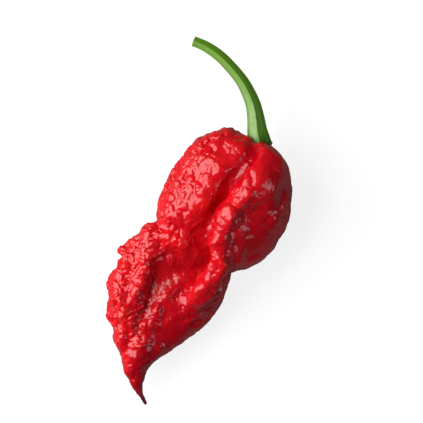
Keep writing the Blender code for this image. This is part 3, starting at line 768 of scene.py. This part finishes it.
class PepperPodLook(bpy.types.PropertyGroup):
    fineness: bpy.props.FloatProperty(
        name="Fineness", description="Size of the faces that the skin is made of",
        default=0.28 * MM, min=0.2 * MM, max=1.0 * MM, precision=5, unit="LENGTH")
    blister_size: bpy.props.FloatProperty(
        name="Blister Size", description="Distance between the middles of two blisters",
        default=2.0 * MM, min=0.5 * MM, max=5.0 * MM, precision=5, unit="LENGTH")
    blister_height: bpy.props.FloatProperty(
        name="Blister Height", description="How far the blisters stand above their grooves",
        default=0.22 * MM, min=0.0, max=1.0 * MM, precision=5, unit="LENGTH")
    wrinkle_height: bpy.props.FloatProperty(
        name="Wrinkle Height", description="Height of the fine winding wrinkles",
        default=0.1 * MM, min=0.0, max=1.0 * MM, precision=5, unit="LENGTH")
    skin_colour: bpy.props.FloatVectorProperty(
        name="Skin", description="Colour of the open skin", subtype="COLOR", size=4, min=0.0, max=1.0,
        default=(0.76, 0.002, 0.012, 1.0))
    # Painted light on the crests.
    painted_crest_light_colour: bpy.props.FloatVectorProperty(
        name="Crests", description="Colour of the highest folds", subtype="COLOR", size=4, min=0.0, max=1.0,
        default=(0.86, 0.014, 0.014, 1.0))
    # Painted shade in the creases and grooves, and also the colour of the random darker clouds.
    crease_shade_and_mottle_colour: bpy.props.FloatVectorProperty(
        name="Creases", description="Colour deep in the folds", subtype="COLOR", size=4, min=0.0, max=1.0,
        default=(0.5, 0.0, 0.004, 1.0))
    # Painted shade: the colour of the valleys and the lower flank in shade.
    painted_shade_colour: bpy.props.FloatVectorProperty(
        name="Deep Red", description="Colour of the valleys and the lower flank", subtype="COLOR", size=4,
        min=0.0, max=1.0, default=(0.44, 0.0, 0.007, 1.0))
    tip_colour: bpy.props.FloatVectorProperty(
        name="Tail Tip", description="Colour of the tail's dry tip", subtype="COLOR", size=4,
        min=0.0, max=1.0, default=(0.045, 0.006, 0.006, 1.0))
    gloss_roughness: bpy.props.FloatProperty(
        name="Roughness", description="Roughness of the waxy skin", subtype="FACTOR",
        default=0.18, min=0.05, max=1.0)
    translucency: bpy.props.FloatProperty(
        name="Translucency", description="How much light wanders below the skin", subtype="FACTOR",
        default=0.2, min=0.0, max=1.0)


class PepperStemLook(bpy.types.PropertyGroup):
    rib_sharpness: bpy.props.FloatProperty(
        name="Rib Sharpness", description="0 for a round stem, 1 for a five-sided one", subtype="FACTOR",
        default=0.85, min=0.0, max=1.0)
    # Painted light on the side that faces the softbox.
    painted_lit_colour: bpy.props.FloatVectorProperty(
        name="Pale Side", description="Colour of the stem's pale side", subtype="COLOR", size=4,
        min=0.0, max=1.0, default=(0.26, 0.42, 0.12, 1.0))
    stem_colour: bpy.props.FloatVectorProperty(
        name="Stem", description="Colour of the stem", subtype="COLOR", size=4, min=0.0, max=1.0,
        default=(0.16, 0.31, 0.03, 1.0))
    # The streaks' own colour, and also the painted shade of the sides away from the softbox.
    streak_and_shade_colour: bpy.props.FloatVectorProperty(
        name="Streaks", description="Colour of the darker patches", subtype="COLOR", size=4, min=0.0, max=1.0,
        default=(0.13, 0.34, 0.012, 1.0))
    # Painted shade band where the stem turns under.
    shade_band_colour: bpy.props.FloatVectorProperty(
        name="Edge", description="Colour of the thin olive band along the stem's inner side", subtype="COLOR",
        size=4, min=0.0, max=1.0, default=(0.12, 0.17, 0.035, 1.0))
    calyx_colour: bpy.props.FloatVectorProperty(
        name="Calyx", description="Colour of the calyx", subtype="COLOR", size=4, min=0.0, max=1.0,
        default=(0.03, 0.09, 0.004, 1.0))
    cut_colour: bpy.props.FloatVectorProperty(
        name="Cut End", description="Colour of the cut end", subtype="COLOR", size=4, min=0.0, max=1.0,
        default=(0.38, 0.42, 0.2, 1.0))


class PepperStudioLook(bpy.types.PropertyGroup):
    surface_colour: bpy.props.FloatVectorProperty(
        name="Surface", description="Colour of the surface below", subtype="COLOR", size=4, min=0.0, max=1.0,
        default=(0.28, 0.28, 0.28, 1.0))
    # Painted falloff of light: the colour that the surface is painted away from the pepper.
    painted_far_shade_colour: bpy.props.FloatVectorProperty(
        name="Far Surface", description="Colour of the surface away from the pepper", subtype="COLOR", size=4,
        min=0.0, max=1.0, default=(0.15, 0.15, 0.15, 1.0))
    surface_glow: bpy.props.FloatProperty(
        name="Surface Glow", description="Light that the surface shows the camera", default=0.83, min=0.0,
        max=5.0)
    key_power: bpy.props.FloatProperty(
        name="Key Power", description="Power of the softbox at the upper left", subtype="POWER",
        default=1.2, min=0.0)
    fill_power: bpy.props.FloatProperty(
        name="Fill Power", description="Power of the weak lamp at the right", subtype="POWER",
        default=0.3, min=0.0)
    world_strength: bpy.props.FloatProperty(
        name="World", description="Strength of the plain light from all around", default=0.05, min=0.0)


def shared_group():
    return bpy.data.node_groups.get("plant_skin") or plant_skin_group()


def finish_piece(piece, material, node):
    """Gives the piece its material and smooth shading, and puts it in the place of its CAD node."""
    piece.data.materials.clear()
    piece.data.materials.append(material)
    select_only(piece)
    bpy.ops.object.shade_smooth_by_angle(angle=SMOOTH_ANGLE)
    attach(piece, "root")
    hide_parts(node)


class PEPPER_OT_pod(bpy.types.Operator):
    """Builds the folded and blistered pod with its tail"""
    bl_idname = "pepper.pod"
    bl_label = "Pod"

    def execute(self, context):
        look = context.scene.pepper_pod
        lines = [smooth_line(path, TAIL_STEPS if name == "tail" else PATH_STEPS)
                 for name, (_, _, path) in LOBES.items()]
        pod = place_beads(lines, "pepper_pod")
        apply_modifier(pod, "REMESH", mode="VOXEL", voxel_size=look.fineness)
        drop_bubbles(pod)
        settle(pod.data, lines, rounds=3)
        even_out(pod, repeats=4)
        settle(pod.data, lines, rounds=2)
        wrinkle(pod, lines, look)
        finish_piece(pod, pod_material(shared_group(), look), "pod")
        return {"FINISHED"}


class PEPPER_OT_stem(bpy.types.Operator):
    """Builds the ribbed stem with its calyx and cut end"""
    bl_idname = "pepper.stem"
    bl_label = "Stem"

    def execute(self, context):
        look = context.scene.pepper_stem
        stem = loft_stem("pepper_stem", look)
        finish_piece(stem, stem_material(shared_group(), look), "stem")
        return {"FINISHED"}


def add_area_lamp(name, place, size, power, colour):
    """A square lamp that looks at the pepper, with its place and size in millimetres."""
    lamp = bpy.data.lights.new(name, "AREA")
    lamp.size = size * MM
    lamp.energy = power
    lamp.color = colour
    thing = bpy.data.objects.new(name, lamp)
    thing.location = Vector(place) * MM
    thing.rotation_euler = (Vector(LAMP_TARGET) - Vector(place)).to_track_quat("-Z", "Y").to_euler()
    bpy.context.scene.collection.objects.link(thing)


class PEPPER_OT_studio(bpy.types.Operator):
    """Adds the camera, the pale surface, the softbox and the weak lamp"""
    bl_idname = "pepper.studio"
    bl_label = "Studio"

    def execute(self, context):
        look = context.scene.pepper_studio
        scene = context.scene
        centre = Vector(VIEW_CENTRE) - Vector(FRAME_SHIFT)
        lens = bpy.data.cameras.new("camera")
        lens.lens, lens.sensor_width = LENS, SENSOR
        lens.clip_start = 0.01
        camera = bpy.data.objects.new("camera", lens)
        camera.location = (centre + Vector((0, 0, VIEW_SPAN * LENS / SENSOR))) * MM
        scene.collection.objects.link(camera)
        scene.camera = camera
        add_area_lamp("softbox", SOFTBOX_AT, SOFTBOX_SIZE, look.key_power, WHITE)
        add_area_lamp("weak_lamp", WEAK_LAMP_AT, WEAK_LAMP_SIZE, look.fill_power, COOL)
        deselect_all()
        bpy.ops.mesh.primitive_plane_add(size=SURFACE_SIZE * MM)
        surface = bpy.context.object
        surface.name = "surface"
        surface.data.materials.append(surface_material(look))
        world = bpy.data.worlds.new("studio")
        world.use_nodes = True
        world.node_tree.nodes["Background"].inputs["Color"].default_value = (*COOL, 1.0)
        world.node_tree.nodes["Background"].inputs["Strength"].default_value = look.world_strength
        scene.world = world
        scene.view_settings.view_transform = "Standard"
        return {"FINISHED"}


class PEPPER_PT_panel(bpy.types.Panel):
    bl_label = "Chilli Pepper"
    bl_idname = "PEPPER_PT_panel"
    bl_space_type = "VIEW_3D"
    bl_region_type = "UI"
    bl_category = "Pepper"

    def draw(self, context):
        for operator, group in STEPS:
            box = self.layout.box()
            look = getattr(context.scene, group)
            for name in look.__annotations__:
                box.prop(look, name)
            box.operator(operator)


# The operators in the order in which they run, each with the property group that it reads.
STEPS = (("pepper.studio", "pepper_studio"), ("pepper.pod", "pepper_pod"), ("pepper.stem", "pepper_stem"))
GROUPS = {"pepper_studio": PepperStudioLook, "pepper_pod": PepperPodLook, "pepper_stem": PepperStemLook}
CLASSES = (*GROUPS.values(), PEPPER_OT_studio, PEPPER_OT_pod, PEPPER_OT_stem, PEPPER_PT_panel)


def register():
    for kind in CLASSES:
        bpy.utils.register_class(kind)
    for name, group in GROUPS.items():
        setattr(bpy.types.Scene, name, bpy.props.PointerProperty(type=group))


def unregister():
    for name in GROUPS:
        delattr(bpy.types.Scene, name)
    for kind in reversed(CLASSES):
        bpy.utils.unregister_class(kind)


def main():
    register()
    bpy.ops.pepper.studio()
    bpy.ops.pepper.pod()
    bpy.ops.pepper.stem()


if __name__ == "__main__":
    main()
